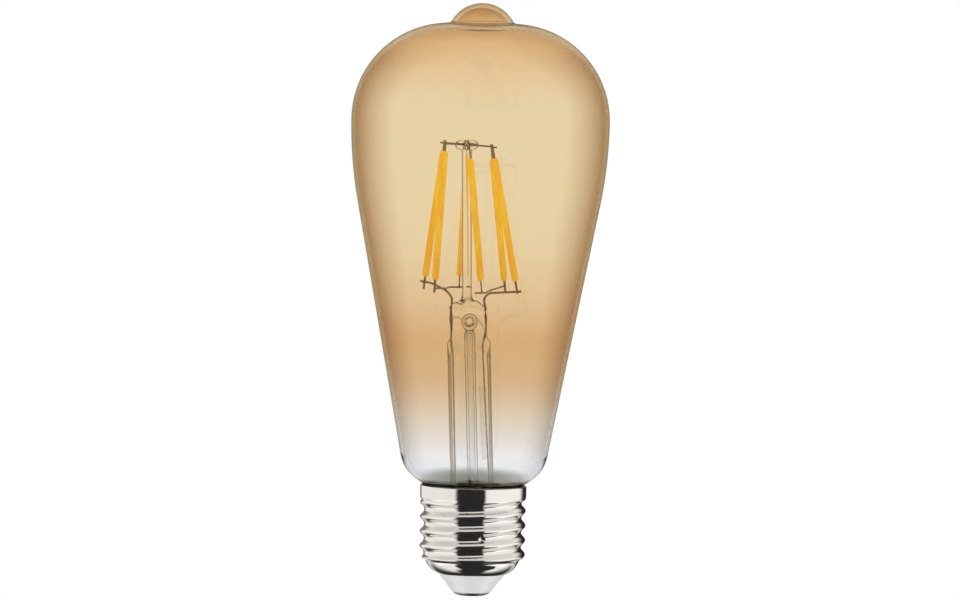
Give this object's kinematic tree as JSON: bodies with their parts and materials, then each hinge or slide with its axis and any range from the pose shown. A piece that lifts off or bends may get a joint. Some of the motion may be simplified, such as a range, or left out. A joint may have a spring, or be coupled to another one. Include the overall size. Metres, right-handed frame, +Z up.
{
  "type": "light bulb",
  "caption": "Teardrop amber glass lamp on a screw cap, with slim LED filaments on a glass stem and a radio-controlled driver in the cap.",
  "frame": {"origin": "centre of the centre contact's flat end, on the cap's axis", "axes": "+Z up the cap's axis from the centre contact to the glass tip; -Y is the side that the exhaust hole in the stem's pressed end faces; +X completes a right-handed frame"},
  "size_m": [0.064, 0.064, 0.147],
  "materials": {
    "shell_nickel": "nickel plate on thin sheet metal, polished, fine rolling and handling marks",
    "insulator_white": "white glassy insulator, smooth",
    "contact_metal": "nickelled contact, slightly dulled",
    "basing_cement": "matt pale grey-yellow cement",
    "solder": "bright solder",
    "liner_card": "varnished insulating card",
    "amber_glass": "clear soda glass with an amber coat that fades to clear above the cap",
    "stem_glass": "clear glass, faintly green in thick places",
    "nickel_wire": "oxidised nickel wire",
    "dumet_wire": "copper-clad sealing wire, brick red inside the glass",
    "tinned_wire": "tinned copper wire, dull",
    "clear_sleeve": "clear insulating sleeve",
    "phosphor": "silicone loaded with yellow-orange phosphor, satin",
    "strip_metal": "plated carrier strip and pins",
    "led_die": "pale blue-white dies",
    "board_green": "solder-masked circuit board",
    "chip_black": "black moulded package",
    "capacitor_sleeve": "dark shrink sleeve",
    "ferrite": "dark grey sintered ferrite",
    "copper_winding": "enamelled copper wire",
    "resistor_body": "blue-grey lacquer",
    "board_blue": "solder-masked circuit board",
    "shield_can": "tinned shield can",
    "copper_trace": "plated copper trace",
    "red_insulation": "red wire insulation",
    "blue_insulation": "blue wire insulation"
  },
  "bodies": {
    "root": {"screw_shell": "shell_nickel", "cap_insulator": "insulator_white", "centre_contact": "contact_metal", "capping_cement": "basing_cement", "shell_solder": "solder", "insulation_liner": "liner_card", "glass_envelope": "amber_glass", "stem_flare": "stem_glass", "exhaust_tube": "stem_glass", "glass_pillar": "stem_glass", "top_spider": "nickel_wire", "dumet_seals": "dumet_wire", "left_lead_wire": "nickel_wire", "right_lead_wire": "nickel_wire", "left_cross_wire": "nickel_wire", "right_cross_wire": "nickel_wire", "left_outer_lead": "tinned_wire", "right_outer_lead": "tinned_wire", "lead_sleeve": "clear_sleeve", "filament_1": "phosphor", "filament_2": "phosphor", "filament_3": "phosphor", "filament_4": "phosphor", "filament_5": "phosphor", "filament_6": "phosphor", "filament_1_strip": "strip_metal", "filament_2_strip": "strip_metal", "filament_3_strip": "strip_metal", "filament_4_strip": "strip_metal", "filament_5_strip": "strip_metal", "filament_6_strip": "strip_metal", "filament_1_chips": "led_die", "filament_2_chips": "led_die", "filament_3_chips": "led_die", "filament_4_chips": "led_die", "filament_5_chips": "led_die", "filament_6_chips": "led_die", "driver_board": "board_green", "rectifier": "chip_black", "driver_chip": "chip_black", "capacitor": "capacitor_sleeve", "inductor_core": "ferrite", "inductor_winding": "copper_winding", "fusible_resistor": "resistor_body", "radio_board": "board_blue", "radio_shield": "shield_can", "antenna_trace": "copper_trace", "live_wire": "red_insulation", "neutral_wire": "blue_insulation"}
  },
  "joints": []
}
